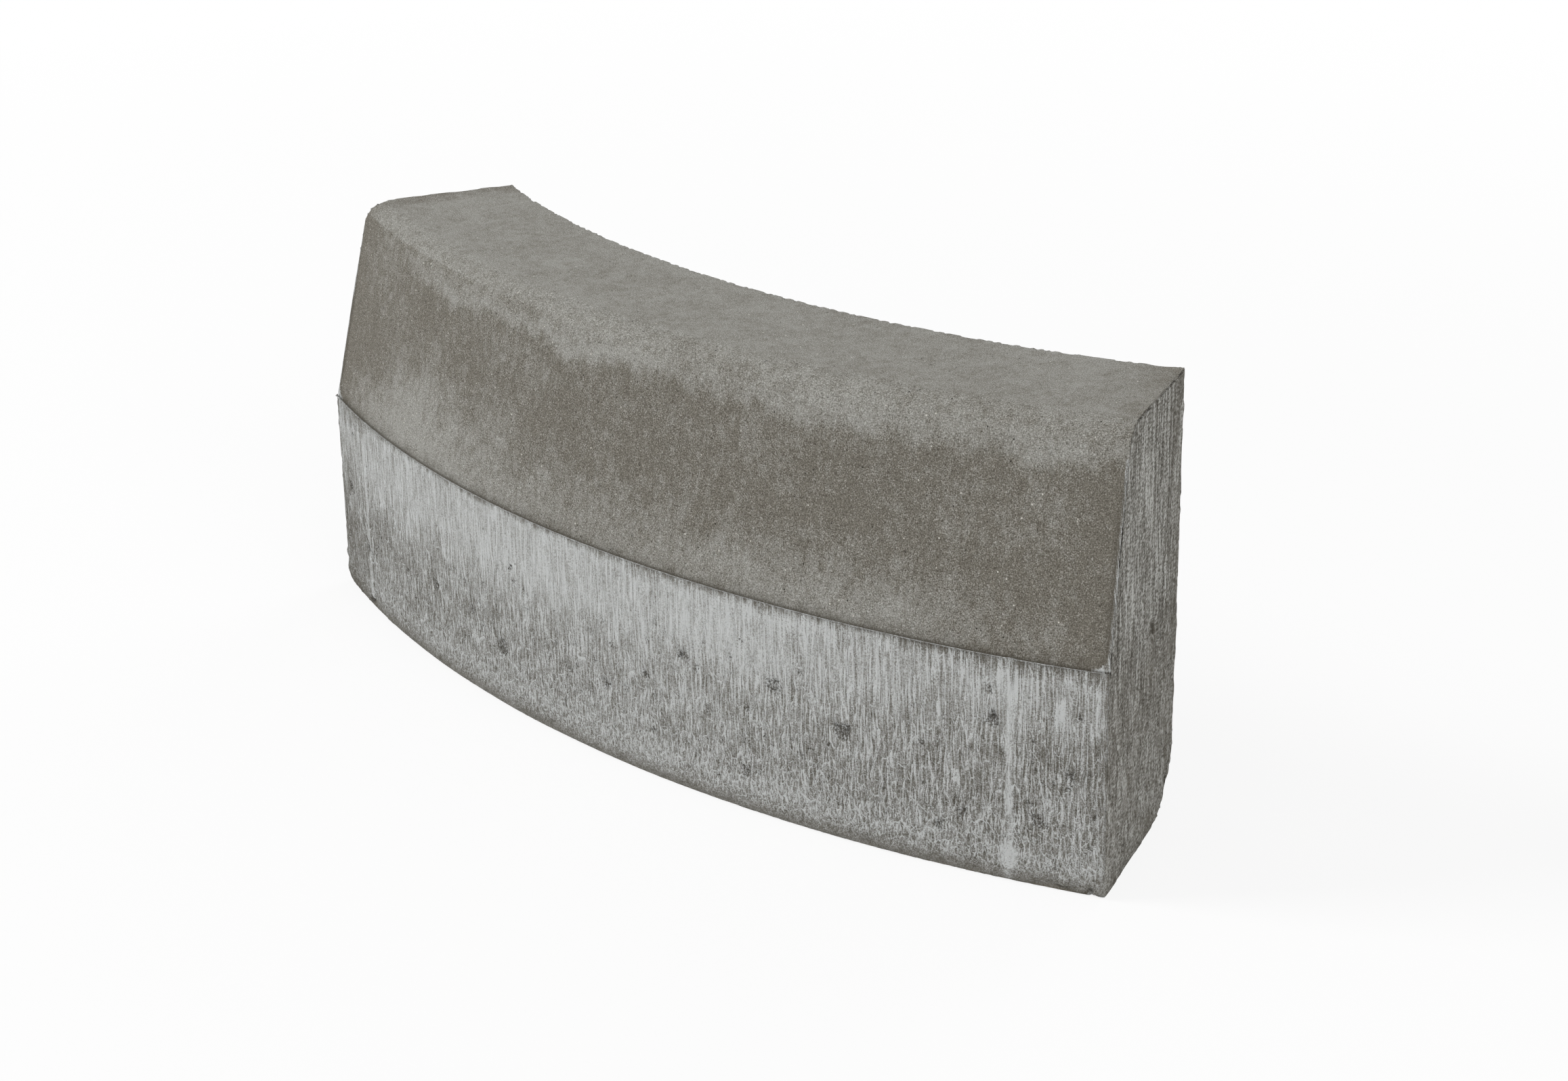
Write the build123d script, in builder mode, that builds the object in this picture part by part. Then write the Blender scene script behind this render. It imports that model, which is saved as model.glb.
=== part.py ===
from build123d import *
import math
import os

# Concrete kerb stone for an outer bend: one dry-pressed casting, curved in plan.
# Its convex face looks towards the road, along -Y. The stone stands on its base at z = 0,
# with the origin under the middle of its overall box. All lengths are in millimetres.

# Kerb line in plan
face_radius = 1000.0  # road-side face, at its foot
arc_length = 780.0  # along that face, from end joint to end joint

# Cross-section
height = 300.0
base_width = 150.0
top_width = 115.0  # from the back to where the splayed face would meet the top
wall_height = 154.0  # upright lower part of the road-side face
nose_radius = 20.0  # rounded upper road-side edge
heel_radius = 45.0  # rounded lower back edge
foot_radius = 4.0  # lower road-side edge

# Imprint that the press head leaves in the splayed face
ledge_depth = 2.0  # step in behind the top of the wall
imprint_gap = 6.0  # the imprint dies out this far below the nose
imprint_corner = 10.0  # rounded lower corners of the imprint
rim_width = 3.0  # rim left standing along each end

# The imprint's tool reaches this far out of the stone
overrun = 20.0

back_radius = face_radius - base_width
half_angle = arc_length / (2 * face_radius)
imprint_half_angle = half_angle - rim_width / face_radius
overall_depth = face_radius - back_radius * math.cos(half_angle)
arc_centre = Vector(0, face_radius - overall_depth / 2, 0)
arc_axis = Axis(arc_centre, (0, 0, 1))

# Corners of the section, as (radius, height)
heel = Vector(back_radius, 0)
foot = Vector(face_radius, 0)
wall_top = Vector(face_radius, wall_height)
nose = Vector(back_radius + top_width, height)
back_top = Vector(back_radius, height)

# The nose rounds off the corner between the splayed face and the top
splay = (nose - wall_top).normalized()
nose_turn = math.radians(splay.get_angle(back_top - nose))
nose_reach = nose_radius * math.tan(nose_turn / 2)
nose_low = nose - splay * nose_reach
nose_high = nose - Vector(nose_reach, 0)

# The imprint runs from the root of the ledge to where it meets the splayed face
ledge_root = wall_top - Vector(ledge_depth, 0)
imprint_top = nose_low - splay * imprint_gap
ledge_outside = wall_top + Vector(overrun, 0)
imprint_outside = imprint_top + (imprint_top - ledge_root).normalized() * overrun
tool_corner = Vector(ledge_outside.X, imprint_outside.Y)


def section_plane(angle):
    """Upright plane through the arc's axis: its x is the radius, its y the height."""
    outward = (math.sin(angle), -math.cos(angle), 0)
    along = (-math.cos(angle), -math.sin(angle), 0)
    return Plane(arc_centre, x_dir=outward, z_dir=along)


# Tool with the form of the press head's edge, its lower corners round
with BuildPart() as imprint:
    with BuildSketch(section_plane(-imprint_half_angle)):
        with BuildLine():
            Polyline(ledge_root, ledge_outside, tool_corner, imprint_outside, close=True)
        make_face()
    revolve(axis=arc_axis, revolution_arc=math.degrees(2 * imprint_half_angle))
    lower_corners = imprint.edges().filter_by(GeomType.LINE).group_by(Axis.Z)[0]
    fillet(lower_corners, radius=imprint_corner)

# The stone: its section swung about the arc's axis, less the imprint
with BuildPart() as kerb_stone:
    with BuildSketch(section_plane(-half_angle)) as section:
        with BuildLine():
            Polyline(nose_high, back_top, heel, foot, wall_top, nose_low)
            TangentArc(nose_low, nose_high, tangent=splay)
        make_face()
        fillet(section.vertices().group_by(Axis.Y)[0].sort_by(Axis.X)[0], radius=heel_radius)
        fillet(section.vertices().group_by(Axis.Y)[0].sort_by(Axis.X)[-1], radius=foot_radius)
    revolve(axis=arc_axis, revolution_arc=math.degrees(2 * half_angle))
    add(imprint.part, mode=Mode.SUBTRACT)

kerb_stone.part.label = "kerb_stone"

os.makedirs("parts", exist_ok=True)
export_step(kerb_stone.part, "parts/kerb_stone.step")
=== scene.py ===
import math
import random

import bmesh
import bpy
from mathutils import Matrix, Vector, kdtree, noise


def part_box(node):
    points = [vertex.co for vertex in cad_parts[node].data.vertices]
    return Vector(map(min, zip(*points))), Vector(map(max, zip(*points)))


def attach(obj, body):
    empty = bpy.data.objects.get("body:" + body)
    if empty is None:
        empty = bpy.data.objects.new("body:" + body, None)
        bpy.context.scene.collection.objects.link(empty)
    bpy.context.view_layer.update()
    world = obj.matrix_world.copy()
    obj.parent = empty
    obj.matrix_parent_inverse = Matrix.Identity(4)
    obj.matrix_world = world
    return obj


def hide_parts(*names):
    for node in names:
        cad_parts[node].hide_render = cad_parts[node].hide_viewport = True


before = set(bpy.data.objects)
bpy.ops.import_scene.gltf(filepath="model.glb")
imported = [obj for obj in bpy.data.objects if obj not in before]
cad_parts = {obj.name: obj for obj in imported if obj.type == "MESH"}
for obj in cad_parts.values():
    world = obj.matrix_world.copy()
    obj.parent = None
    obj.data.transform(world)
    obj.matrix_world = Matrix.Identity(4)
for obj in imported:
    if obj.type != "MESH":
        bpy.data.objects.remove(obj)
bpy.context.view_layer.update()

# Lengths are in metres, written as so many millimetres
MM = 0.001

# The stone's own sizes
FACE_RADIUS = 1000 * MM
BASE_WIDTH = 150 * MM
TOP_WIDTH = 115 * MM
WALL_HEIGHT = 154 * MM
NOSE_RADIUS = 20 * MM
HEEL_RADIUS = 45 * MM
FOOT_RADIUS = 4 * MM
LEDGE_DEPTH = 2 * MM
LEDGE_FALL = 1.2 * MM  # from the wall's lip down to the ledge's root
IMPRINT_TOP = 278 * MM
IMPRINT_CORNER = 10 * MM
RIM_WIDTH = 3 * MM

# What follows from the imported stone's box
box_low, box_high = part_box("kerb_stone")
HEIGHT = box_high.z - box_low.z
HALF_ANGLE = math.asin((box_high.x - box_low.x) / 2 / FACE_RADIUS)
HALF_ARC = HALF_ANGLE * FACE_RADIUS
BACK_RADIUS = FACE_RADIUS - BASE_WIDTH
ARC_CENTRE_Y = box_low.y + FACE_RADIUS

# Spacing of the mesh: columns along the arc, rows up or across each face, cells on the ends
COLUMNS = 480
WALL_ROW = 2.6 * MM
SPLAY_ROW = 5.0 * MM
TOP_ROW = 6.5 * MM
BACK_ROW = 16 * MM
BASE_ROW = 22 * MM
FINE_ROW = 1.4 * MM
FINE_STRIP = 6 * MM
END_CELL = Vector((0, 2.5 * MM, 3.2 * MM))
NOSE_ROWS = 8
HEEL_ROWS = 7
FOOT_ROWS = 3

# Edges that turn more than this are worn as sharp ones, or shaded as creases
SHARP_TURN = math.radians(35)
CREASE_TURN = math.radians(40)

TINY = 0.01 * MM


def section_face(bm):
    """The stone's section as one face, standing at the left end of the straightened stone.

    The straightened stone has its back on y = 0, its road side towards -Y and its base on z = 0."""
    def corner(depth, height):
        return bm.verts.new((-HALF_ARC, -depth, height))

    splay = Vector((TOP_WIDTH - BASE_WIDTH, HEIGHT - WALL_HEIGHT)).normalized()
    ledge_root = Vector((BASE_WIDTH - LEDGE_DEPTH, WALL_HEIGHT - LEDGE_FALL))
    lower_splay = ledge_root + splay * FINE_STRIP
    heel = corner(0, 0)
    foot = corner(BASE_WIDTH, 0)
    wall_end = corner(BASE_WIDTH, WALL_HEIGHT - FINE_STRIP)
    wall_top = corner(BASE_WIDTH, WALL_HEIGHT)
    root = corner(*ledge_root)
    above = corner(*lower_splay)
    nose = corner(TOP_WIDTH, HEIGHT)
    top_end = corner(FINE_STRIP, HEIGHT)
    back_top = corner(0, HEIGHT)
    back_end = corner(0, HEIGHT - FINE_STRIP)
    bm.faces.new((heel, foot, wall_end, wall_top, root, above, nose, top_end, back_top, back_end))
    nose_turn = math.pi / 2 - math.atan2(-splay.x, splay.y)
    for vert, reach, rows in (
        (nose, NOSE_RADIUS * math.tan(nose_turn / 2), NOSE_ROWS),
        (heel, HEEL_RADIUS, HEEL_ROWS),
        (foot, FOOT_RADIUS, FOOT_ROWS),
    ):
        bmesh.ops.bevel(
            bm, geom=[vert], offset=reach, offset_type="OFFSET", segments=rows,
            profile=0.5, affect="VERTICES", material=-1,
        )


def row_spacing(edge):
    """Spacing of the rows along one edge of the section."""
    middle = (edge.verts[0].co + edge.verts[1].co) / 2
    if edge.calc_length() < FINE_STRIP + TINY:
        return FINE_ROW
    if middle.z < TINY:
        return BASE_ROW
    if middle.z > HEIGHT - TINY:
        return TOP_ROW
    if middle.y > -TINY:
        return BACK_ROW
    return WALL_ROW if middle.z < WALL_HEIGHT else SPLAY_ROW


def straight_stone(bm):
    """The section drawn out to the stone's length and divided into rows, columns and end cells."""
    section_face(bm)
    for edge in list(bm.edges):
        cuts = round(edge.calc_length() / row_spacing(edge)) - 1
        if cuts > 0:
            bmesh.ops.subdivide_edges(bm, edges=[edge], cuts=cuts)
    drawn = bmesh.ops.extrude_face_region(bm, geom=bm.faces[:])["geom"]
    far_end = [item for item in drawn if isinstance(item, bmesh.types.BMVert)]
    bmesh.ops.translate(bm, verts=far_end, vec=(2 * HALF_ARC, 0, 0))
    long_edges = [edge for edge in bm.edges if edge.calc_length() > HALF_ARC]
    bmesh.ops.subdivide_edges(bm, edges=long_edges, cuts=COLUMNS - 1, use_grid_fill=True)
    for end in (-HALF_ARC, HALF_ARC):
        cut_end_into_cells(bm, end)
    bmesh.ops.recalc_face_normals(bm, faces=bm.faces[:])


def cut_end_into_cells(bm, end):
    """One end's face divided by level and upright cuts."""
    faces = [face for face in bm.faces if abs(face.calc_center_median().x - end) < TINY]
    geom = faces + list(dict.fromkeys(edge for face in faces for edge in face.edges))
    geom += list(dict.fromkeys(vert for face in faces for vert in face.verts))
    levels = [row * END_CELL.z for row in range(1, round(HEIGHT / END_CELL.z))]
    depths = [row * END_CELL.y for row in range(1, round(BASE_WIDTH / END_CELL.y))]
    cuts = [(Vector((0, 0, level)), Vector((0, 0, 1))) for level in levels]
    cuts += [(Vector((0, -depth, 0)), Vector((0, 1, 0))) for depth in depths]
    for place, normal in cuts:
        geom = bmesh.ops.bisect_plane(
            bm, geom=geom, dist=TINY, plane_co=place, plane_no=normal,
        )["geom"]


def bend(bm):
    """Bends the straight stone round the kerb line's arc."""
    for vert in bm.verts:
        angle = vert.co.x / FACE_RADIUS
        radius = BACK_RADIUS - vert.co.y
        vert.co.x = radius * math.sin(angle)
        vert.co.y = ARC_CENTRE_Y - radius * math.cos(angle)


def wave(place, along, across, up):
    """Smooth noise from -1 to 1, with the given sizes of its swells in millimetres."""
    return noise.noise((place.x / (along * MM), place.y / (across * MM), place.z / (up * MM)))


# Smooth noise is nought on its own lattice, where some edges lie, so they read it this far off
OFF_LATTICE = Vector((1.3, 2.1, 0.7)) * MM


def edge_wave(place, size):
    """Smooth noise for the wear of edges, its swells the same size in millimetres all round."""
    return wave(place + OFF_LATTICE, size, size, size)


def fade(value, start, end):
    """0 before start, 1 after end and smooth between; start may be the greater."""
    share = min(max((value - start) / (end - start), 0.0), 1.0)
    return share * share * (3 - 2 * share)


def between(table, value):
    """Reads a table of (place, value) pairs, straight between its places."""
    for (start, low), (end, high) in zip(table, table[1:]):
        if value < end:
            return low + (high - low) * max((value - start) / (end - start), 0)
    return table[-1][1]


PRESSED, WALL, DRAWN, BASE = range(4)


def inside_imprint(place):
    """How far a place on the splayed face lies in from the imprint's ends and lower corners."""
    inset = HALF_ARC - RIM_WIDTH - abs(place.x)
    lift = place.z - WALL_HEIGHT
    if inset < IMPRINT_CORNER - TINY and lift < IMPRINT_CORNER:
        return IMPRINT_CORNER - math.hypot(IMPRINT_CORNER - inset, IMPRINT_CORNER - lift)
    return inset


def finish_at(place):
    """Which finish the plain stone has at a place on it."""
    if abs(place.x) > HALF_ARC - TINY or place.y > -TINY:
        return DRAWN
    if place.z < TINY:
        return BASE
    if place.y < -BASE_WIDTH / 2 and place.z < IMPRINT_TOP:
        on_rim = inside_imprint(place) < 0
        on_wall = place.y < -BASE_WIDTH + LEDGE_DEPTH - TINY
        return WALL if on_rim or on_wall else PRESSED
    return PRESSED if place.z > WALL_HEIGHT else DRAWN


# Room below the plain faces for the swells of the drawn and the pressed relief
DRAWN_ROOM = 1.1 * MM
PRESSED_ROOM = 0.7 * MM
# Swells in millimetres: height, then size along, across and up the stone
DRAG_MARKS = ((0.20, 2.6, 2.6, 55), (0.25, 8, 8, 110), (0.35, 130, 90, 90))
TORN_LUMPS = ((0.55, 4.2, 4.2, 7), (0.35, 11, 11, 16))
PRESS_MARKS = ((0.25, 70, 60, 60), (0.12, 3.4, 3.4, 3.4))
# How torn the drawn faces are: strength, then the heights in millimetres where it begins and is full
END_TEAR = (1.5, 190, 60)
WALL_TEAR = (1.0, 110, 15)


def swells(place, table):
    """Sum of a table's swells at a place."""
    return sum(height * MM * wave(place, *sizes) for height, *sizes in table)


def drawn_relief(place):
    """Depth of the marks that the rising mould wall dragged in the concrete, torn towards the foot."""
    on_end = abs(place.x) > HALF_ARC - TINY
    strength, start, full = END_TEAR if on_end else WALL_TEAR
    torn = strength * fade(place.z / MM, start, full)
    return DRAWN_ROOM + swells(place, DRAG_MARKS) + torn * swells(place, TORN_LUMPS)


def pressed_relief(place):
    """Depth of the swells that the press head left in the sandy face."""
    return PRESSED_ROOM + swells(place, PRESS_MARKS)


# Mould seams on the wall: distance each side of the middle, how far they wander, height of their fins
SEAM_PLACE = 326 * MM
SEAM_WANDER = 1.5 * MM
SEAM_FIN = 0.9 * MM
# Wear of the wall's foot: depth of its chips and of the notch at the left seam, most crumbled place
FOOT_CHIPS = 2.8 * MM
FOOT_NOTCH = 7.0 * MM
CRUMBLED_PLACE = 358 * MM


def off_seam(place):
    """Distance from the nearer mould seam."""
    return abs(abs(place.x) - SEAM_PLACE + SEAM_WANDER * wave(place, 60, 60, 30))


def seam_rise(place):
    """Height of the fins where the parts of the mould met."""
    strength = 0.55 + 0.6 * wave(place, 40, 40, 22)
    return SEAM_FIN * strength * fade(off_seam(place), 4.5 * MM, 1.0 * MM)


def foot_wear(place):
    """How far the wall's foot is chipped, most at the seam on the left and near the right end."""
    chips = max(edge_wave(place, 18) - 0.1, 0) + 0.6 * max(edge_wave(place, 5), 0)
    notch = fade(abs(place.x + SEAM_PLACE), 8 * MM, 3 * MM)
    crumbling = 1 + 1.5 * fade(abs(place.x - CRUMBLED_PLACE), 34 * MM, 18 * MM)
    low = fade(place.z, 11 * MM, 3 * MM)
    return (FOOT_CHIPS * crumbling * chips + FOOT_NOTCH * notch) * low


def rim_rise(place):
    """How far the rim round the imprint stands over the pressed face."""
    if place.z > IMPRINT_TOP:
        return 0.0
    share = 1 - max(place.z - WALL_HEIGHT, 0) / (IMPRINT_TOP - WALL_HEIGHT)
    return LEDGE_DEPTH * share * fade(inside_imprint(place), 1.2 * MM, -0.8 * MM)


# On the top, a low rim along each end and a dip beside it
TOP_RIM = 0.6 * MM
TOP_DIP = 0.7 * MM


def depth_below_face(place):
    """How far the finished surface lies inside the plain stone at a place on it."""
    finish = finish_at(place)
    if finish == BASE:
        return foot_wear(place) if place.y < FOOT_RADIUS - BASE_WIDTH + TINY else 0.0
    if finish == DRAWN:
        return drawn_relief(place)
    if place.z < WALL_HEIGHT + TINY and finish == WALL:
        return drawn_relief(place) - seam_rise(place) + foot_wear(place)
    if place.z < HEIGHT - TINY:
        return pressed_relief(place) - rim_rise(place)
    inset = HALF_ARC - abs(place.x)
    rim = fade(inset, 8 * MM, 2 * MM)
    dip = fade(inset, 34 * MM, 20 * MM) * fade(inset, 6 * MM, 18 * MM)
    return pressed_relief(place) - TOP_RIM * rim + TOP_DIP * dip


def edge_chips(place):
    """How deep the chips along the top, back and heel edges are at a place near one of them."""
    depth, height = -place.y, place.z
    behind = depth
    if max(depth, height) < HEEL_RADIUS - TINY:
        behind = HEEL_RADIUS - math.hypot(HEEL_RADIUS - depth, HEEL_RADIUS - height)
    to_edge = sorted((behind, HEIGHT - height, HALF_ARC - abs(place.x)))[1]
    reach = 1.2 + 3.8 * edge_wave(place, 5) + 5 * max(edge_wave(place, 19) - 0.1, 0)
    return max(0.9 * (reach * MM - to_edge), 0)


# Wear of sharp edges: at the ledge, and elsewhere its least, its crumbs and its chips
LEDGE_WEAR = 0.12 * MM
LEAST_WEAR = 0.2 * MM
CRUMB_WEAR = 2.2 * MM
CHIP_WEAR = 2.4 * MM


def arris_wear(place):
    """How far a sharp edge is worn back."""
    if abs(place.z - WALL_HEIGHT) < LEDGE_FALL + TINY and abs(place.x) < HALF_ARC - TINY:
        return LEDGE_WEAR
    crumbs = max(edge_wave(place, 3.4) + 0.1, 0)
    chips = max(edge_wave(place, 17) - 0.1, 0)
    return LEAST_WEAR + CRUMB_WEAR * crumbs + CHIP_WEAR * chips


# Places of the larger groups of holes on the wall: along the arc, height and spread in millimetres
WALL_HOLES = (
    (-112, 45, 11), (80, 97, 8), (6, 56, 6), (-203, 63, 7), (155, 96, 11), (314, 110, 8), (278, 29, 5),
    (131, 30, 7), (366, 81, 7), (346, 45, 8), (-330, 48, 9), (208, 78, 9), (45, 74, 5), (-96, 111, 4),
    (-366, 86, 9), (294, 42, 6),
)
SCATTERED_WALL_HOLES = 420
HOLES_PER_END = 90
BACK_HOLES = 60
HOLE_SEED = 11


def grouped_wall_holes(chance):
    """A blur of painted shade for each group of holes on the wall, with small deep pits in it."""
    for along, height, spread in WALL_HOLES:
        middle = Vector((along * MM, -BASE_WIDTH, height * MM))
        yield middle, 1.1 * spread * MM, 0.8 * MM, chance.uniform(0.75, 1.05)
        for _ in range(spread // 2):
            x = chance.gauss(along, spread * 0.4) * MM
            z = max(chance.gauss(height, spread * 0.3), 6) * MM
            half = chance.uniform(1.8, 3.0) * MM
            yield Vector((x, -BASE_WIDTH, z)), half, chance.uniform(0.6, 1.6) * MM, 0.95


def scattered_wall_holes(chance):
    """Small shallow holes all over the wall, more of them low down."""
    for _ in range(SCATTERED_WALL_HOLES):
        x = chance.uniform(-HALF_ARC, HALF_ARC)
        z = chance.triangular(8 * MM, 145 * MM, 55 * MM)
        half = chance.triangular(1.6, 6, 1.8) * MM
        depth = chance.uniform(0.3, 0.9) * MM
        yield Vector((x, -BASE_WIDTH, z)), half, depth, chance.uniform(0.45, 0.85)


def end_holes(chance):
    """Torn spots on both ends, more of them low down and towards the back."""
    for end in (-HALF_ARC, HALF_ARC):
        for _ in range(HOLES_PER_END):
            y = -chance.triangular(3 * MM, BASE_WIDTH - 4 * MM, 10 * MM)
            z = chance.triangular(5 * MM, 210 * MM, 20 * MM)
            half = chance.triangular(2, 11, 3) * MM
            depth = chance.uniform(0.4, 1.5) * MM
            yield Vector((end, y, z)), half, depth, chance.uniform(0.45, 0.85)


def back_holes(chance):
    """Broad torn spots on the back."""
    for _ in range(BACK_HOLES):
        x = chance.uniform(-HALF_ARC, HALF_ARC)
        z = chance.triangular(45 * MM, 295 * MM, 90 * MM)
        half = chance.uniform(9, 16) * MM
        depth = chance.uniform(0.5, 1.2) * MM
        yield Vector((x, 0, z)), half, depth, chance.uniform(0.3, 0.7)


def holes(chance):
    """Blowholes and torn spots: place on the straightened stone, half width, depth and how dark their
    painted shade is.
    """
    for kind in (grouped_wall_holes, scattered_wall_holes, end_holes, back_holes):
        yield from kind(chance)


def sink_holes(bm, depths, hole):
    """Adds the blowholes to the vertices' depths and marks how dark each vertex is with their painted
    shade.
    """
    finder = kdtree.KDTree(len(bm.verts))
    bm.verts.ensure_lookup_table()
    for number, vert in enumerate(bm.verts):
        finder.insert(vert.co, number)
    finder.balance()
    for centre, half, deep, dark in holes(random.Random(HOLE_SEED)):
        for place, number, away in finder.find_range(centre, 1.4 * half):
            ragged = away / half * (1 + 0.4 * wave(place, 2.6, 2.6, 3.2))
            vert = bm.verts[number]
            depths[vert] += deep * fade(ragged, 1.0, 0.2)
            vert[hole] = max(vert[hole], dark * fade(ragged, 1.1, 0.2))


def weather(bm, hole):
    """Moves every vertex in from the plain stone's face to the finished surface."""
    sharp = {v for e in bm.edges if e.calc_face_angle(0) > SHARP_TURN for v in e.verts}
    depths = {vert: max(depth_below_face(vert.co), 0) + edge_chips(vert.co) for vert in bm.verts}
    sink_holes(bm, depths, hole)
    for vert in sharp:
        depths[vert] += arris_wear(vert.co)
    normals = {vert: vert.normal.copy() for vert in bm.verts}
    for vert, depth in depths.items():
        vert.co -= normals[vert] * depth
    for vert in bm.verts:
        vert.co.z = max(vert.co.z, 0)


# Lime goes from 0 for bare concrete to 1 for white. On the nose, by millimetres from the middle:
NOSE_LIME = ((-390, 0.02), (-200, 0.20), (0, 0.42), (390, 0.44))
# Just above the ledge: how much and how high it reaches, by millimetres from the middle
LEDGE_LIME = (
    (-390, 0.05), (-330, 0.32), (-265, 0.66), (-90, 0.40), (20, 0.34),
    (160, 0.42), (250, 0.34), (310, 0.14), (390, 0.0),
)
LEDGE_LIME_REACH = ((-390, 30), (-265, 95), (-90, 66), (20, 52), (160, 66), (390, 28))
# On the wall: how much by height, and what is added by millimetres from the middle
WALL_LIME_UP = (
    (0, 0.32), (10, 0.34), (19, 0.41), (32, 0.36), (60, 0.39),
    (84, 0.46), (104, 0.60), (124, 0.72), (140, 0.69), (154, 0.57),
)
WALL_LIME_ALONG = (
    (-390, -0.26), (-345, -0.16), (-300, -0.10), (-60, 0.0),
    (100, 0.0), (200, -0.10), (280, -0.17), (390, -0.29),
)
# How far below the ledge the wall's veil of lime begins, by millimetres from the middle
VEIL_FALL = (
    (-390, 16), (-340, 14), (-280, 4), (-60, 5), (40, 10), (160, 9), (230, 5), (310, 13), (390, 15),
)
# Lime of whole faces and features
TOP_LIME = 0.64
SPLAY_LIME = 0.22
DRAWN_LIME = 0.35
LIP_LIME = 0.62
RIM_LIME = 0.34
SEAM_LIME = 0.46
# Height in millimetres of the ragged edge between the nose's lime and the bare splayed face
NOSE_EDGE = 274


def lime_on_top(place, clouds):
    """How pale with lime the top is: even, browner by the ends and on the right."""
    along = place.x / MM
    inset = HALF_ARC / MM - abs(along)
    ends = 0.22 * fade(inset, 30, 8)
    right = 0.06 * fade(abs(along - 300), 60, 10) * fade(place.y / MM, -30, -70)
    return TOP_LIME + 0.7 * clouds - ends - right


def lime_on_pressed(place):
    """How pale with lime the pressed top, nose and splayed face are."""
    along, height = place.x / MM, place.z / MM
    clouds = 0.12 * wave(place, 70, 70, 50) + 0.10 * wave(place, 24, 24, 24)
    if place.y > -TOP_WIDTH:
        return lime_on_top(place, clouds)
    edge = NOSE_EDGE + 9 * wave(place, 42, 42, 500) + 5 * wave(place, 13, 13, 500)
    nose = between(NOSE_LIME, along) * fade(height, edge - 10, edge + 4)
    nose += 0.22 * fade(abs(height - edge - 2), 7, 1) * fade(abs(along + 110), 190, 120)
    lift = height - WALL_HEIGHT / MM
    reach = between(LEDGE_LIME_REACH, along) * (1 + 0.45 * wave(place, 30, 30, 500))
    climb = between(LEDGE_LIME, along) * fade(lift, reach, 0.1 * reach)
    ends = 0.18 * fade(HALF_ARC / MM - abs(along), 45, 10)
    return SPLAY_LIME + nose + climb + clouds - ends


def lime_on_wall(place):
    """How pale with lime the wall is: a veil with an arched top edge, thinner to the ends and foot."""
    along, height = place.x / MM, place.z / MM
    below_ledge = WALL_HEIGHT / MM - height
    if below_ledge < 0.5:
        return LIP_LIME if below_ledge > -0.5 else RIM_LIME
    thinning = between(WALL_LIME_ALONG, along) * (fade(height, 20, 110) if along > 0 else 1)
    lime = between(WALL_LIME_UP, height) + thinning
    lime += 0.07 * wave(place, 60, 60, 40) + 0.05 * wave(place, 16, 16, 50)
    arch = 0.6 + 1.2 * abs(noise.noise((along / 38, 0, 0.5)))
    below_veil = below_ledge - between(VEIL_FALL, along) * arch + 4 * wave(place, 3.2, 3.2, 60)
    lime += 0.13 * fade(abs(below_veil - 2), 5, 0) - 0.10 * fade(below_veil, 2, -4)
    seam = fade(off_seam(place) / MM, 4.0, 1.0) * (0.75 + 0.6 * wave(place, 60, 60, 20))
    seam *= fade(height, 140, 128)
    blob = fade(math.hypot(along - SEAM_PLACE / MM, (height - 19) / 1.6), 8, 4)
    return lime + SEAM_LIME * max(seam, blob)


def lime_on_drawn(place):
    """How pale with lime the ends and the back are, with an arched smear in the middle of each end."""
    depth, height = -place.y / MM, place.z / MM
    off_middle = depth - 78
    below_arch = 272 - off_middle ** 2 / 40 + 4 * wave(place, 9, 9, 60) - height
    smear = 0.12 * fade(below_arch, -3, 3) * fade(below_arch, 120, 10) * fade(abs(off_middle), 52, 20)
    foot = 0.10 * fade(height, 120, 20)
    clouds = 0.10 * wave(place, 50, 50, 70) + 0.08 * wave(place, 14, 14, 60)
    return DRAWN_LIME + smear + foot + clouds


def lime_at(place):
    """How pale with lime the stone is at a place on it."""
    finish = finish_at(place)
    if finish == PRESSED:
        return lime_on_pressed(place)
    return lime_on_wall(place) if finish == WALL else lime_on_drawn(place)


def dirt_on_wall(place, patchy):
    """Dirt along the wall's foot, on its left and by its arrises, and in ticks under the ledge."""
    along, height = place.x / MM, place.z / MM
    foot = 0.50 * fade(height, 10 + 5 * wave(place, 30, 30, 500), 1)
    left = 0.30 * fade(along, -325, -370) * fade(height, 110, 60)
    arris = 0.35 * fade(HALF_ARC / MM - abs(along), 9, 1)
    below_ledge = WALL_HEIGHT / MM - height
    ticks = fade(wave(place, 2.4, 2.4, 12), -0.05, 0.3)
    ticks *= fade(below_ledge, 7, 3) * fade(below_ledge, 0.4, 1.5)
    return max(patchy * max(foot, left, arris), 0.7 * ticks)


def shade_and_dirt_on_splay(place, patchy):
    """A dark line and darkening in the ledge's corner, partly dirt and partly painted shade, and painted
    shade in the crease beside each rim.
    """
    height = place.z / MM
    lift = height - (WALL_HEIGHT - LEDGE_FALL) / MM
    # The line and the corner are painted shade in the ledge's concave corner, with some dirt in it
    line = 0.85 * fade(lift, 1.8, 0.2)
    corner = 0.45 * patchy * fade(lift, 9 + 4 * wave(place, 12, 12, 500), 0)
    # Painted shade in the crease between the rim and the pressed face
    crease = 0.70 * patchy * fade(inside_imprint(place) / MM, 5, 0.5) * fade(height, 280, 225)
    return max(line, corner, crease)


def dirt_on_drawn(place, patchy):
    """Dirt on the lower half of the ends and towards the back."""
    low = fade(place.z / MM, 170, 110) * (0.2 + 0.5 * max(wave(place, 36, 36, 36), 0))
    back = 0.3 * fade(-place.y / MM, 45, 5)
    return patchy * (low + back)


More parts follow.
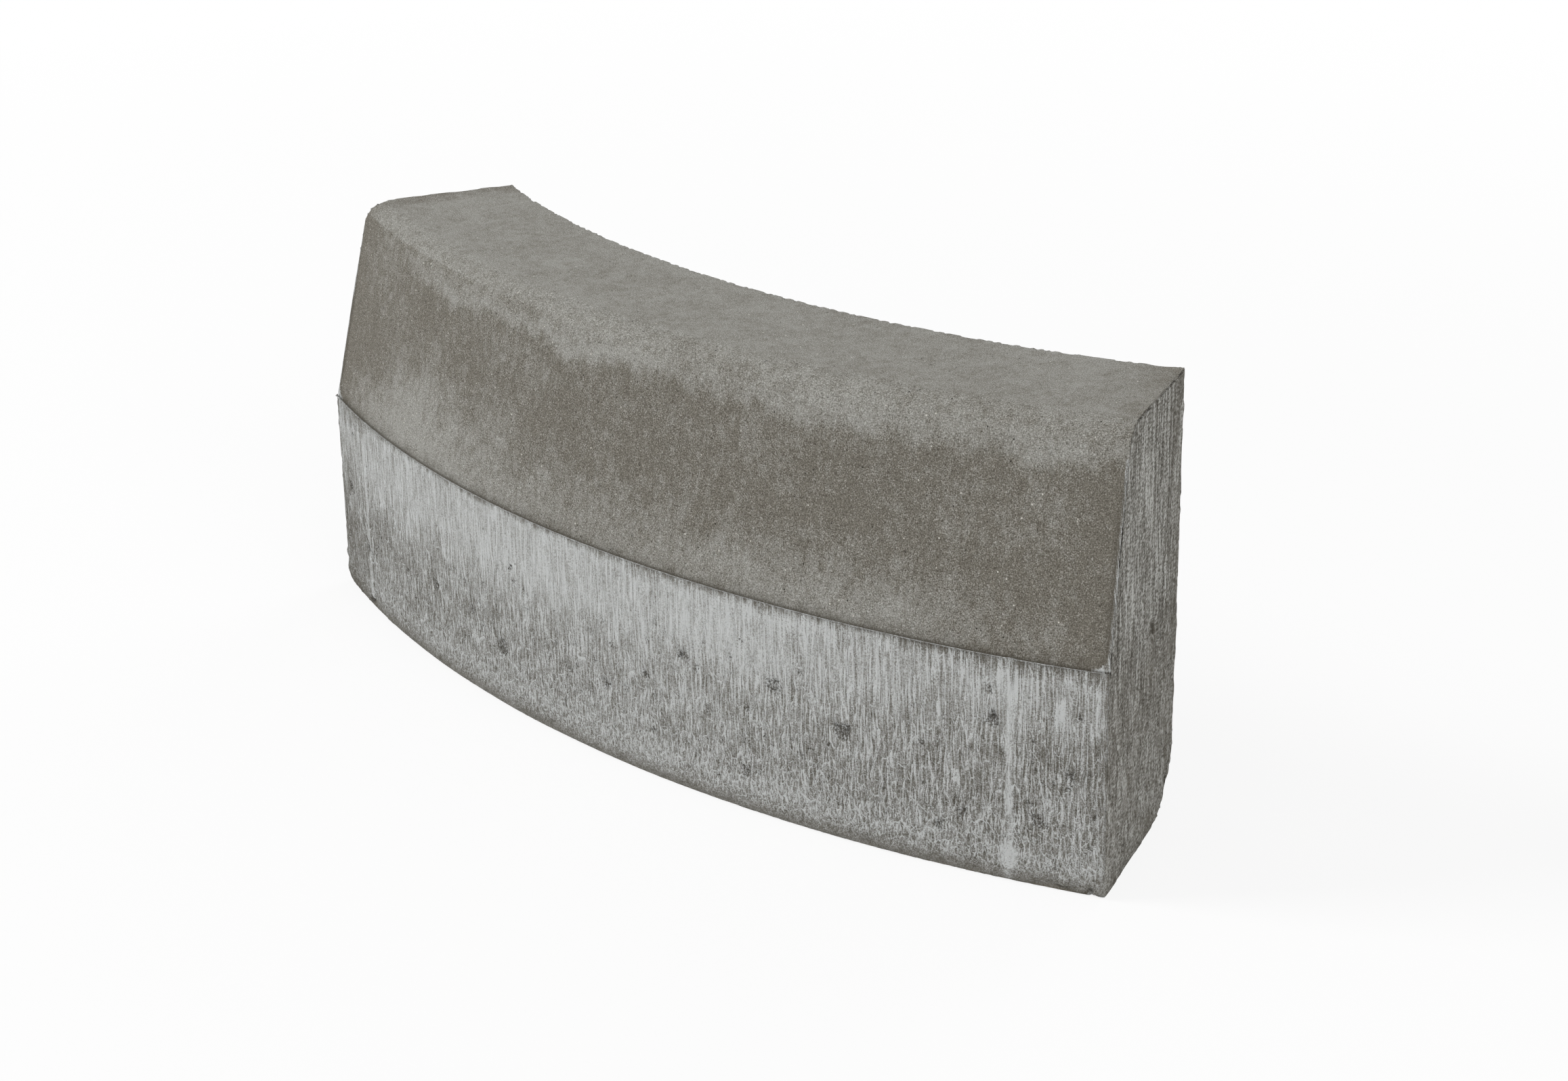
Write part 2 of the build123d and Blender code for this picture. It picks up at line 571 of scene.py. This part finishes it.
def dirt_and_shade_at(place):
    """How brown and dark the stone is at a place on it: dirt, and painted shade by the ledge and in the
    rims' creases.
    """
    finish = finish_at(place)
    patchy = 0.75 + 0.5 * wave(place, 9, 9, 9)
    if finish == WALL and place.z < WALL_HEIGHT:
        return dirt_on_wall(place, patchy)
    if finish == PRESSED and place.y < -TOP_WIDTH:
        return shade_and_dirt_on_splay(place, patchy)
    return dirt_on_drawn(place, patchy) if finish == DRAWN else 0.0


def mark_weathering(bm):
    """Keeps each vertex's place on the straightened stone, its lime, and its dirt and painted shade for the
    materials.

    Gives the layer that is to hold how far each vertex is inside a hole, which darkens it with painted
    shade."""
    straight = bm.verts.layers.float_vector.new("straightened")
    lime, dirt_and_shade, hole = [bm.verts.layers.float.new(name) for name in ("lime", "dirt_and_shade", "hole")]
    for vert in bm.verts:
        vert[straight] = vert.co
        vert[lime] = lime_at(vert.co)
        vert[dirt_and_shade] = dirt_and_shade_at(vert.co)
    return hole


def add_piece(bm, name, materials):
    """Turns a bmesh into an object of that name in the scene."""
    mesh = bpy.data.meshes.new(name)
    bm.to_mesh(mesh)
    bm.free()
    for material in materials:
        mesh.materials.append(material)
    piece = bpy.data.objects.new(name, mesh)
    bpy.context.scene.collection.objects.link(piece)
    return piece


def kerb_stone(materials):
    """The whole casting, with a material for each of its four finishes."""
    bm = bmesh.new()
    straight_stone(bm)
    for face in bm.faces:
        face.smooth = True
        face.material_index = finish_at(face.calc_center_median())
    hole = mark_weathering(bm)
    bm.normal_update()
    weather(bm, hole)
    bend(bm)
    bm.normal_update()
    for edge in bm.edges:
        edge.smooth = edge.calc_face_angle(0) < CREASE_TURN
    return add_piece(bm, "kerb_stone_casting", materials)


def srgb(code):
    """A hex colour as the linear colour that the shaders take."""
    parts = [int(code[i:i + 2], 16) / 255 for i in (1, 3, 5)]
    return [c / 12.92 if c <= 0.04045 else ((c + 0.055) / 1.055) ** 2.4 for c in parts] + [1.0]


def add(tree, kind, inputs=None, stops=None, **settings):
    """Adds a node: settings are its own, inputs are values or the sockets that feed it,
    and stops are the places and hex colours of a ramp."""
    node = tree.nodes.new(kind)
    for name, value in settings.items():
        setattr(node, name, value)
    for socket, value in (inputs or {}).items():
        if isinstance(value, bpy.types.NodeSocket):
            tree.links.new(value, node.inputs[socket])
        else:
            node.inputs[socket].default_value = value
    for number, (place, code) in enumerate(stops or ()):
        elements = node.color_ramp.elements
        element = elements[number] if number < 2 else elements.new(place)
        element.position = place
        element.color = srgb(code)
    return node


# Matt concrete: rough, with little shine
CONCRETE_ROUGHNESS = 0.92
CONCRETE_SPECULAR = 0.25

# Colours from dark to pale, by the share of a grain's or a mark's height
BARE_SAND = ((0.28, "#454139"), (0.44, "#656158"), (0.56, "#767269"), (0.72, "#a09c93"))
LIMED_SAND = ((0.26, "#676661"), (0.44, "#8e8d87"), (0.56, "#9b9a94"), (0.72, "#bbbab5"))
WALL_TONES = ((0.0, "#514d46"), (0.28, "#76746d"), (0.50, "#979692"), (0.72, "#b3b4b2"), (0.98, "#d0d2d1"))
END_TONES = ((0.0, "#3b3831"), (0.28, "#615e57"), (0.50, "#7a7872"), (0.72, "#979690"), (0.98, "#b8b8b4"))
BASE_TONES = ((0.20, "#4f4b43"), (0.50, "#6f6c64"), (0.80, "#8b8982"))
PALE_GRAIN = "#cfccc4"
# Colour of the painted shade in the sand's small pits
PIT_SHADE = "#35322c"
# Colour of the painted shade and dirt by the ledge, and of the painted shade in the rims' creases
PRESSED_DIRT_AND_SHADE = "#4c473e"
DRAWN_DIRT = "#645f55"
# Colour of the painted shade in the holes and torn spots
HOLE_SHADE = "#423e36"


def plain_concrete(name):
    """A new concrete material: the material, its tree and shader, and what its vertices carry."""
    material = bpy.data.materials.new(name)
    material.use_nodes = True
    tree = material.node_tree
    shader = tree.nodes["Principled BSDF"]
    shader.inputs["Roughness"].default_value = CONCRETE_ROUGHNESS
    shader.inputs["Specular IOR Level"].default_value = CONCRETE_SPECULAR
    straight = add(tree, "ShaderNodeAttribute", attribute_name="straightened")
    carried = {"place": straight.outputs["Vector"]}
    for layer in ("lime", "dirt_and_shade", "hole"):
        carried[layer] = add(tree, "ShaderNodeAttribute", attribute_name=layer).outputs["Fac"]
    return material, tree, shader, carried


def mottling(tree, place, sizes):
    """The concrete's uneven patterns by name, each about nought: every row has a name, the size of its
    swells along, across and up in millimetres, its detail and its strength."""
    found = {}
    for name, size, detail, strength in sizes:
        scale = [1 / (side * MM) for side in size]
        spot = add(tree, "ShaderNodeMapping", {"Vector": place, "Scale": scale}).outputs["Vector"]
        pattern = add(tree, "ShaderNodeTexNoise", {
            "Vector": spot, "Scale": 1.0, "Detail": detail, "Roughness": 0.6,
        }).outputs["Fac"]
        found[name] = add(tree, "ShaderNodeMath", {
            0: pattern, 1: strength, 2: -strength / 2,
        }, operation="MULTIPLY_ADD").outputs[0]
    return found


def finish_surface(tree, shader, colour, stains_and_shade, height, depth, strength):
    """Lays stains and painted shade, as shares and hex colours, over a colour, and gives the shader that
    colour and the fine relief that a height between 0 and 1 stands for at a depth in metres."""
    for share, code in stains_and_shade:
        colour = add(tree, "ShaderNodeMix", {
            "Factor": share, "A": colour, "B": srgb(code),
        }, data_type="RGBA").outputs["Result"]
    tree.links.new(colour, shader.inputs["Base Color"])
    bump = add(tree, "ShaderNodeBump", {
        "Height": height, "Distance": depth, "Strength": strength,
    }).outputs["Normal"]
    tree.links.new(bump, shader.inputs["Normal"])


def odd_grains(tree, place):
    """Where single pale grains, and pits darkened with painted shade, lie in the sand, one to about every 6
    mm at the most.
    """
    cells = add(tree, "ShaderNodeTexVoronoi", {"Vector": place, "Scale": 1 / (6 * MM)}).outputs
    chance = add(tree, "ShaderNodeSeparateColor", {"Color": cells["Color"]}).outputs["Red"]
    spot = add(tree, "ShaderNodeMapRange", {
        "Value": cells["Distance"], "From Min": 0.12, "From Max": 0.06,
    }).outputs["Result"]
    shares = []
    for side, limit in (("GREATER_THAN", 0.86), ("LESS_THAN", 0.20)):
        chosen = add(tree, "ShaderNodeMath", {0: chance, 1: limit}, operation=side).outputs[0]
        shares.append(add(tree, "ShaderNodeMath", {0: chosen, 1: spot}, operation="MULTIPLY").outputs[0])
    return shares


def pressed_concrete():
    """Dry-pressed face concrete: packed sand that looks grainy and matt, brown-grey where bare
    and pale where lime has bloomed on it."""
    material, tree, shader, carried = plain_concrete("dry-pressed face concrete")
    of = mottling(tree, carried["place"], (
        ("grain", (0.85, 0.85, 0.85), 2.0, 1.0),
        ("mottle", (8, 8, 8), 4.0, 0.95),
        ("fringe", (3.4, 3.4, 20), 3.0, 0.8),
        ("tone", (28, 28, 28), 3.0, 0.4),
    ))
    amount = carried["lime"]
    for name in ("mottle", "fringe", "tone", "grain"):
        amount = add(tree, "ShaderNodeMath", {0: amount, 1: of[name]}, operation="ADD").outputs[0]
    bloom = add(tree, "ShaderNodeMapRange", {
        "Value": amount, "From Min": 0.17, "From Max": 0.83,
    }).outputs["Result"]
    grain = add(tree, "ShaderNodeMath", {0: of["grain"], 1: 0.5}, operation="ADD").outputs[0]
    bare = add(tree, "ShaderNodeValToRGB", {"Fac": grain}, stops=BARE_SAND).outputs["Color"]
    limed = add(tree, "ShaderNodeValToRGB", {"Fac": grain}, stops=LIMED_SAND).outputs["Color"]
    colour = add(tree, "ShaderNodeMix", {
        "Factor": bloom, "A": bare, "B": limed,
    }, data_type="RGBA").outputs["Result"]
    pale, dark = odd_grains(tree, carried["place"])
    sandy = add(tree, "ShaderNodeMath", {
        0: of["mottle"], 1: 0.5, 2: of["grain"],
    }, operation="MULTIPLY_ADD").outputs[0]
    sandy = add(tree, "ShaderNodeMath", {0: sandy, 1: dark}, operation="SUBTRACT").outputs[0]
    # The dark pits, the ledge's corner and the rims' creases are painted shade; the ledge's corner holds
    # some dirt too
    stains_and_shade = ((pale, PALE_GRAIN), (dark, PIT_SHADE), (carried["dirt_and_shade"], PRESSED_DIRT_AND_SHADE))
    finish_surface(tree, shader, colour, stains_and_shade, sandy, 0.5 * MM, 0.9)
    return material


def place_among_flakes(tree, place, waver, width, lengths):
    """Where a place lies among the flakes of a drawn face, each about one unit wide and long.

    Gives that place, its upright part and the flakes' length there in millimetres. Flakes are longer
    the higher they are, so the upright part goes with the logarithm of their length."""
    axes = add(tree, "ShaderNodeSeparateXYZ", {"Vector": place}).outputs
    base_length, growth = lengths
    length = add(tree, "ShaderNodeMath", {
        0: axes["Z"], 1: growth / MM, 2: base_length,
    }, operation="MULTIPLY_ADD").outputs[0]
    grown = add(tree, "ShaderNodeMath", {0: length, 1: math.e}, operation="LOGARITHM").outputs[0]
    rise = add(tree, "ShaderNodeMath", {0: grown, 1: 1 / growth}, operation="MULTIPLY").outputs[0]
    side = add(tree, "ShaderNodeMath", {0: axes["X"], 1: axes["Y"]}, operation="ADD").outputs[0]
    side = add(tree, "ShaderNodeMath", {
        0: side, 1: 1 / (width * MM), 2: waver,
    }, operation="MULTIPLY_ADD").outputs[0]
    spot = add(tree, "ShaderNodeCombineXYZ", {"X": side, "Y": rise}).outputs["Vector"]
    wiggle = add(tree, "ShaderNodeTexNoise", {
        "Vector": spot, "Scale": 1.1, "Detail": 1.0,
    }, noise_dimensions="2D").outputs["Fac"]
    side = add(tree, "ShaderNodeMath", {
        0: wiggle, 1: 1.1, 2: side,
    }, operation="MULTIPLY_ADD").outputs[0]
    spot = add(tree, "ShaderNodeCombineXYZ", {"X": side, "Y": rise}).outputs["Vector"]
    return spot, rise, length


# Thickness of a flake's outline: down its sides in flake widths, and at its top in millimetres
SIDE_LINE = 0.22
TOP_LINE = 0.7
# Scale of the pattern of larger flakes among the small ones
LARGE_FLAKES = 0.55


def flake_outlines(tree, spot, rise, top_line, scale):
    """Thin outlines of a drawn wall's flakes, 1 on the line, down from each flake's pointed top.

    top_line is how thick the line at the top of a flake one unit long is."""
    flake = add(tree, "ShaderNodeTexVoronoi", {
        "Vector": spot, "Scale": scale,
    }, voronoi_dimensions="2D").outputs["Position"]
    middle = add(tree, "ShaderNodeSeparateXYZ", {"Vector": flake}).outputs["Y"]
    above = add(tree, "ShaderNodeMath", {0: rise, 1: middle}, operation="SUBTRACT").outputs[0]
    edge = add(tree, "ShaderNodeTexVoronoi", {
        "Vector": spot, "Scale": scale,
    }, feature="DISTANCE_TO_EDGE", voronoi_dimensions="2D").outputs["Distance"]
    reach = add(tree, "ShaderNodeMapRange", {
        "Value": above, "From Min": 0.05 / scale, "From Max": 0.40 / scale,
        "To Min": SIDE_LINE, "To Max": top_line,
    }).outputs["Result"]
    solid = add(tree, "ShaderNodeMath", {0: reach, 1: 0.35}, operation="MULTIPLY").outputs[0]
    line = add(tree, "ShaderNodeMapRange", {
        "Value": edge, "From Min": reach, "From Max": solid,
    }).outputs["Result"]
    # Only the upper part of each flake keeps its line, so the pale line, partly painted highlight, sits on
    # the top edge
    upper = add(tree, "ShaderNodeMapRange", {
        "Value": above, "From Min": -0.35 / scale, "From Max": 0.1 / scale,
    }).outputs["Result"]
    return add(tree, "ShaderNodeMath", {0: line, 1: upper}, operation="MULTIPLY").outputs[0]


def thin_ridges(tree, spot):
    """Broken thin ridges that wander up between the flakes, 1 on the ridge."""
    stretched = add(tree, "ShaderNodeVectorMath", {
        0: spot, 1: (0.88, 0.6, 0),
    }, operation="MULTIPLY").outputs["Vector"]
    swell = add(tree, "ShaderNodeTexNoise", {
        "Vector": stretched, "Scale": 1.0, "Detail": 1.0,
    }, noise_dimensions="2D").outputs["Fac"]
    off = add(tree, "ShaderNodeMath", {0: swell, 1: 0.5}, operation="SUBTRACT").outputs[0]
    off = add(tree, "ShaderNodeMath", {0: off}, operation="ABSOLUTE").outputs[0]
    return add(tree, "ShaderNodeMapRange", {
        "Value": off, "From Min": 0.045, "From Max": 0.010,
    }).outputs["Result"]


def fine_lines(tree, spot, weight):
    """Fine upright drag lines, about nought."""
    stretched = add(tree, "ShaderNodeVectorMath", {
        0: spot, 1: (2.55, 0.8, 0),
    }, operation="MULTIPLY").outputs["Vector"]
    lines = add(tree, "ShaderNodeTexNoise", {
        "Vector": stretched, "Scale": 1.0, "Detail": 2.0,
    }).outputs["Fac"]
    return add(tree, "ShaderNodeMath", {
        0: lines, 1: weight, 2: -weight / 2,
    }, operation="MULTIPLY_ADD").outputs[0]


def drag_marks(tree, spot, rise, length, grit, outline_weight, line_weight):
    """Height of what the mould wall dragged up: flakes' outlines and ridges beaded by grit, and lines."""
    top_line = add(tree, "ShaderNodeMath", {0: TOP_LINE, 1: length}, operation="DIVIDE").outputs[0]
    small = flake_outlines(tree, spot, rise, top_line, 1.0)
    large = flake_outlines(tree, spot, rise, top_line, LARGE_FLAKES)
    outline = add(tree, "ShaderNodeMath", {0: small, 1: large}, operation="MAXIMUM").outputs[0]
    outline = add(tree, "ShaderNodeMath", {
        0: thin_ridges(tree, spot), 1: 0.45, 2: outline,
    }, operation="MULTIPLY_ADD").outputs[0]
    beaded = add(tree, "ShaderNodeMath", {
        0: grit, 1: 0.8 * outline_weight, 2: outline_weight,
    }, operation="MULTIPLY_ADD").outputs[0]
    return add(tree, "ShaderNodeMath", {
        0: outline, 1: beaded, 2: fine_lines(tree, spot, line_weight),
    }, operation="MULTIPLY_ADD").outputs[0]


def torn_spots(tree, carried, crumb):
    """How hollow and how dirty a drawn face is, both broken up by crumbs; the hollows are darkened with
    painted shade.
    """
    hollow = add(tree, "ShaderNodeMath", {0: carried["hole"], 1: crumb}, operation="ADD").outputs[0]
    hollow = add(tree, "ShaderNodeMapRange", {
        "Value": hollow, "From Min": 0.65, "From Max": 1.00, "To Max": 0.85,
    }).outputs["Result"]
    speckle = add(tree, "ShaderNodeMath", {
        0: crumb, 1: 0.6, 2: 1.0,
    }, operation="MULTIPLY_ADD").outputs[0]
    dirt_and_shade = add(tree, "ShaderNodeMath", {
        0: carried["dirt_and_shade"], 1: speckle,
    }, operation="MULTIPLY").outputs[0]
    return hollow, dirt_and_shade


def drawn_concrete(name, width, lengths, grit, weights, tones):
    """Concrete that a rising mould wall has dragged: fine upright lines and overlapping flakes of lime,
    each with a pale pointed top, longer the higher they are. The pale top line is partly lime and partly
    painted highlight.

    width is the flakes' width in millimetres. lengths are their length at the base and what each
    millimetre of height adds. grit is the size of the grit across and up, in millimetres. weights are
    those of the flakes' outlines, the lines, the grit and broad streaks of tone."""
    material, tree, shader, carried = plain_concrete(name)
    place = carried["place"]
    across, up = grit
    outline_weight, line_weight, grit_weight, tone_weight = weights
    of = mottling(tree, place, (
        ("grit", (across, across, up), 2.0, grit_weight),
        ("waver", (8, 8, 30), 2.0, 1.2),
        ("tone", (7, 7, 40), 4.0, tone_weight),
        ("crumb", (1.6 * across, 1.6 * across, 1.9 * up), 3.0, 2.8),
    ))
    spot, rise, length = place_among_flakes(tree, place, of["waver"], width, lengths)
    marks = drag_marks(tree, spot, rise, length, of["grit"], outline_weight, line_weight)
    level = add(tree, "ShaderNodeSeparateXYZ", {"Vector": place}).outputs["Z"]
    smeared = add(tree, "ShaderNodeMapRange", {
        "Value": level, "From Min": 5 * MM, "From Max": 18 * MM, "To Min": 0.2, "To Max": 1.0,
    }).outputs["Result"]
    raised = add(tree, "ShaderNodeMath", {
        0: marks, 1: smeared, 2: of["grit"],
    }, operation="MULTIPLY_ADD").outputs[0]
    # The raised marks are painted paler: lime, and painted highlight along the flakes' top edges
    pale = raised
    for more in (carried["lime"], of["tone"]):
        pale = add(tree, "ShaderNodeMath", {0: pale, 1: more}, operation="ADD").outputs[0]
    colour = add(tree, "ShaderNodeValToRGB", {"Fac": pale}, stops=tones).outputs["Color"]
    hollow, dirt_and_shade = torn_spots(tree, carried, of["crumb"])
    raised = add(tree, "ShaderNodeMath", {0: raised, 1: hollow}, operation="SUBTRACT").outputs[0]
    # The hollows' colour is painted shade in the holes and torn spots
    stains_and_shade = ((dirt_and_shade, DRAWN_DIRT), (hollow, HOLE_SHADE))
    finish_surface(tree, shader, colour, stains_and_shade, raised, 0.6 * MM, 0.9)
    return material


def wall_concrete():
    """The road-side wall, white with lime under the ledge, torn and darker towards the foot."""
    return drawn_concrete(
        "mould-drawn wall concrete", width=2.3, lengths=(2.2, 0.22), grit=(0.8, 0.8),
        weights=(0.62, 0.90, 1.50, 0.28), tones=WALL_TONES,
    )


def end_concrete():
    """The ends and the back, drawn by the same mould with little lime on them.

    Their flakes and grit are drawn coarser across than they are, to show on an end that is seen aslant."""
    return drawn_concrete(
        "mould-drawn end concrete", width=4.6, lengths=(9, 0.25), grit=(2.8, 1.5),
        weights=(0.46, 0.85, 1.95, 0.42), tones=END_TONES,
    )


def base_concrete():
    """The base, left rough by the board that the stone was cast on: dull, lumpy and brown-grey."""
    material, tree, shader, carried = plain_concrete("board-cast base concrete")
    of = mottling(tree, carried["place"], (
        ("lumps", (7, 7, 7), 4.0, 1.0),
        ("cloud", (60, 60, 60), 3.0, 0.6),
    ))
    tone = add(tree, "ShaderNodeMath", {0: of["lumps"], 1: of["cloud"]}, operation="ADD").outputs[0]
    tone = add(tree, "ShaderNodeMath", {0: tone, 1: 0.5}, operation="ADD").outputs[0]
    colour = add(tree, "ShaderNodeValToRGB", {"Fac": tone}, stops=BASE_TONES).outputs["Color"]
    finish_surface(tree, shader, colour, (), of["lumps"], 1.5 * MM, 1.0)
    return material


def seen_directly(tree):
    """1 for rays that show the background to the camera, also by reflection or through glass."""
    path = add(tree, "ShaderNodeLightPath").outputs
    seen = path["Is Camera Ray"]
    for other in ("Is Glossy Ray", "Is Transmission Ray"):
        seen = add(tree, "ShaderNodeMath", {0: seen, 1: path[other]}, operation="MAXIMUM").outputs[0]
    return seen


# The floor's share of plain white by the stone, and the distances where it begins to rise to 1 and is there
WHITE_BY_STONE = 0.85
WHITE_RISES = 0.8
WHITE_FULL = 2.4
FLOOR_HALF = 12
PAPER = "#f5f5f5"
WHITE = "#ffffff"


def white_paper():
    """White studio paper: plain white to the camera, with a little of the stone's shadow."""
    material = bpy.data.materials.new("white studio paper")
    material.use_nodes = True
    tree = material.node_tree
    tree.nodes.clear()
    place = add(tree, "ShaderNodeTexCoord").outputs["Object"]
    away = add(tree, "ShaderNodeVectorMath", {0: place}, operation="LENGTH").outputs["Value"]
    white = add(tree, "ShaderNodeMapRange", {
        "Value": away, "From Min": WHITE_RISES, "From Max": WHITE_FULL,
        "To Min": WHITE_BY_STONE, "To Max": 1.0,
    }).outputs["Result"]
    share = add(tree, "ShaderNodeMath", {
        0: seen_directly(tree), 1: white,
    }, operation="MULTIPLY").outputs[0]
    paper = add(tree, "ShaderNodeBsdfDiffuse", {"Color": srgb(PAPER)}).outputs[0]
    glow = add(tree, "ShaderNodeEmission", {"Color": srgb(WHITE), "Strength": 1.0}).outputs[0]
    mixed = add(tree, "ShaderNodeMixShader", {0: share, 1: paper, 2: glow}).outputs[0]
    add(tree, "ShaderNodeOutputMaterial", {"Surface": mixed})
    return material


def studio_floor():
    """A wide sheet of white paper under the stone."""
    bm = bmesh.new()
    bmesh.ops.create_grid(bm, x_segments=1, y_segments=1, size=FLOOR_HALF)
    add_piece(bm, "studio_floor", [white_paper()])


SURROUND_LIGHT = 0.42
# Soft square lamps: place and width in metres, power in watts
LAMPS = (
    ("key", (-2.3, -2.1, 2.9), 1.5, 92),
    ("fill", (3.0, -0.9, 1.9), 2.2, 38),
    ("back", (-0.4, 3.2, 1.5), 2.2, 24),
)
LAMP_TARGET = Vector((0, 0, 0.15))


def studio_light():
    """An even pale surround with a large soft lamp on each side of the camera and one behind the stone."""
    world = bpy.data.worlds.new("studio")
    world.use_nodes = True
    tree = world.node_tree
    tree.nodes.clear()
    strength = add(tree, "ShaderNodeMapRange", {
        "Value": seen_directly(tree), "To Min": SURROUND_LIGHT, "To Max": 1.0,
    }).outputs["Result"]
    surround = add(tree, "ShaderNodeBackground", {
        "Color": srgb(WHITE), "Strength": strength,
    }).outputs[0]
    add(tree, "ShaderNodeOutputWorld", {"Surface": surround})
    bpy.context.scene.world = world

    for name, place, width, power in LAMPS:
        lamp = bpy.data.lights.new(name, "AREA")
        lamp.size = width
        lamp.energy = power
        holder = bpy.data.objects.new(name, lamp)
        holder.location = place
        holder.rotation_euler = (LAMP_TARGET - Vector(place)).to_track_quat("-Z", "Y").to_euler()
        bpy.context.scene.collection.objects.link(holder)


# The photo's viewpoint, in metres, with the lens in millimetres on a sensor 36 mm wide
CAMERA_PLACE = Vector((1.4413, -1.3518, 0.9178))
CAMERA_TARGET = Vector((0.0412, 0.0300, 0.1293))
CAMERA_ROLL = math.radians(0.99)
CAMERA_LENS = 70.83


def studio_camera():
    """A camera at the photo's viewing angle."""
    camera = bpy.data.objects.new("camera", bpy.data.cameras.new("camera"))
    camera.data.lens = CAMERA_LENS
    camera.data.sensor_width = 36
    camera.location = CAMERA_PLACE
    aim = (CAMERA_TARGET - CAMERA_PLACE).to_track_quat("-Z", "Y").to_matrix()
    camera.rotation_euler = (aim @ Matrix.Rotation(-CAMERA_ROLL, 3, "Z")).to_euler()
    bpy.context.scene.collection.objects.link(camera)
    bpy.context.scene.camera = camera
    bpy.context.scene.view_settings.view_transform = "Standard"


stone = kerb_stone([pressed_concrete(), wall_concrete(), end_concrete(), base_concrete()])
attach(stone, "root")
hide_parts("kerb_stone")
studio_floor()
studio_light()
studio_camera()
